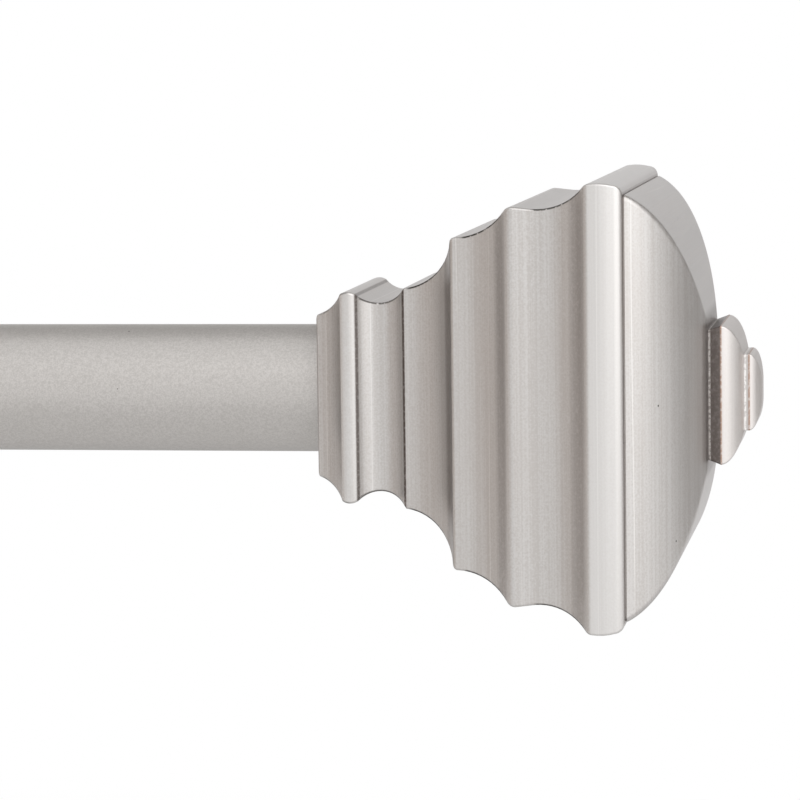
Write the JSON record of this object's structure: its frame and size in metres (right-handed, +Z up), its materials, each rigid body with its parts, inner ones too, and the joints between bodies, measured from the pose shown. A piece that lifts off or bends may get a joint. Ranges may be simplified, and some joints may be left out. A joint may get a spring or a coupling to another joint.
{
  "type": "curtain rod with brackets",
  "caption": "Telescoping round curtain rod with square stepped finials, lying in open cradles on wall brackets whose arms slide and lock.",
  "frame": {"origin": "on the wall plane, at the centre of the rectangle of the wall-screw holes", "axes": "+X along the rod to its right end, +Y into the wall, +Z up"},
  "size_m": [0.8428, 0.1323, 0.0848],
  "materials": {
    "bracket_steel": "zinc plated",
    "bracket_cover": "brushed satin nickel",
    "bracket_tube": "satin pewter coat",
    "arm_bar": "brushed satin nickel",
    "cradle": "satin nickel on a casting",
    "knurled_screw": "knurled satin nickel",
    "finial_casting": "brushed satin nickel on a zinc casting",
    "finial_dome": "brushed satin nickel on a zinc casting",
    "finial_tip": "brushed satin nickel, antiqued in its grooves",
    "screw_steel": "black oxide",
    "rod_coat": "satin pewter coat with a fine grain",
    "inner_rod_coat": "satin pewter coat with a fine grain",
    "nylon": "dark grey nylon"
  },
  "bodies": {
    "wall_mounts": {"left_mounting_plate": "bracket_steel", "left_base_cover": "bracket_cover", "left_cover_lock_screw": "screw_steel", "left_stem": "bracket_tube", "right_mounting_plate": "bracket_steel", "right_base_cover": "bracket_cover", "right_cover_lock_screw": "screw_steel", "right_stem": "bracket_tube"},
    "rod": {"outer_tube": "rod_coat", "mouth_bush": "nylon"},
    "telescoping_rod": {"inner_tube": "inner_rod_coat", "inner_tail_guide": "nylon", "inner_end_adapter": "rod_coat"},
    "left_arm": {"left_arm": "arm_bar", "left_cradle": "cradle"},
    "left_arm_screw": {"left_arm_lock_screw": "knurled_screw"},
    "left_rod_screw": {"left_cradle_screw": "knurled_screw"},
    "left_finial": {"left_finial_body": "finial_casting", "left_finial_dome": "finial_dome", "left_finial_tip_lower": "finial_tip", "left_finial_tip_upper": "finial_tip", "left_finial_tie_screw": "screw_steel", "left_finial_set_screw": "screw_steel"},
    "right_arm": {"right_arm": "arm_bar", "right_cradle": "cradle"},
    "right_arm_screw": {"right_arm_lock_screw": "knurled_screw"},
    "right_rod_screw": {"right_cradle_screw": "knurled_screw"},
    "right_finial": {"right_finial_body": "finial_casting", "right_finial_dome": "finial_dome", "right_finial_tip_lower": "finial_tip", "right_finial_tip_upper": "finial_tip", "right_finial_tie_screw": "screw_steel", "right_finial_set_screw": "screw_steel"}
  },
  "joints": [
    {"name": "left_arm_slide", "type": "slide", "parent": "wall_mounts", "child": "left_arm", "axis": [0, -1, 0], "range_m": [0, 0.035]},
    {"name": "right_arm_slide", "type": "slide", "parent": "wall_mounts", "child": "right_arm", "axis": [0, -1, 0], "range_m": [0, 0.035]},
    {"name": "rod_lift_off", "type": "slide", "parent": "left_arm", "child": "rod", "axis": [0, 0, 1], "range_m": [0, 0.04]},
    {"name": "rod_extension", "type": "slide", "parent": "rod", "child": "telescoping_rod", "axis": [-1, 0, 0], "range_m": [0, 0.508]},
    {"name": "right_finial_pull_off", "type": "slide", "parent": "rod", "child": "right_finial", "axis": [1, 0, 0], "range_m": [0, 0.03]},
    {"name": "left_finial_pull_off", "type": "slide", "parent": "telescoping_rod", "child": "left_finial", "axis": [-1, 0, 0], "range_m": [0, 0.03]},
    {"name": "left_arm_screw_turn", "type": "hinge", "parent": "wall_mounts", "child": "left_arm_screw", "pos_m": [-0.205, -0.0555, -0.0063], "axis": [0, 0, 1], "range_deg": [-1080, 0]},
    {"name": "left_rod_screw_turn", "type": "hinge", "parent": "left_arm", "child": "left_rod_screw", "pos_m": [-0.205, -0.09, -0.013], "axis": [0, 0, 1], "range_deg": [-1080, 0]},
    {"name": "right_arm_screw_turn", "type": "hinge", "parent": "wall_mounts", "child": "right_arm_screw", "pos_m": [0.205, -0.0555, -0.0063], "axis": [0, 0, 1], "range_deg": [-1080, 0]},
    {"name": "right_rod_screw_turn", "type": "hinge", "parent": "right_arm", "child": "right_rod_screw", "pos_m": [0.205, -0.09, -0.013], "axis": [0, 0, 1], "range_deg": [-1080, 0]}
  ],
  "couplings": [
    {"joint": "right_arm_slide", "follows": "left_arm_slide", "ratio": 1}
  ]
}
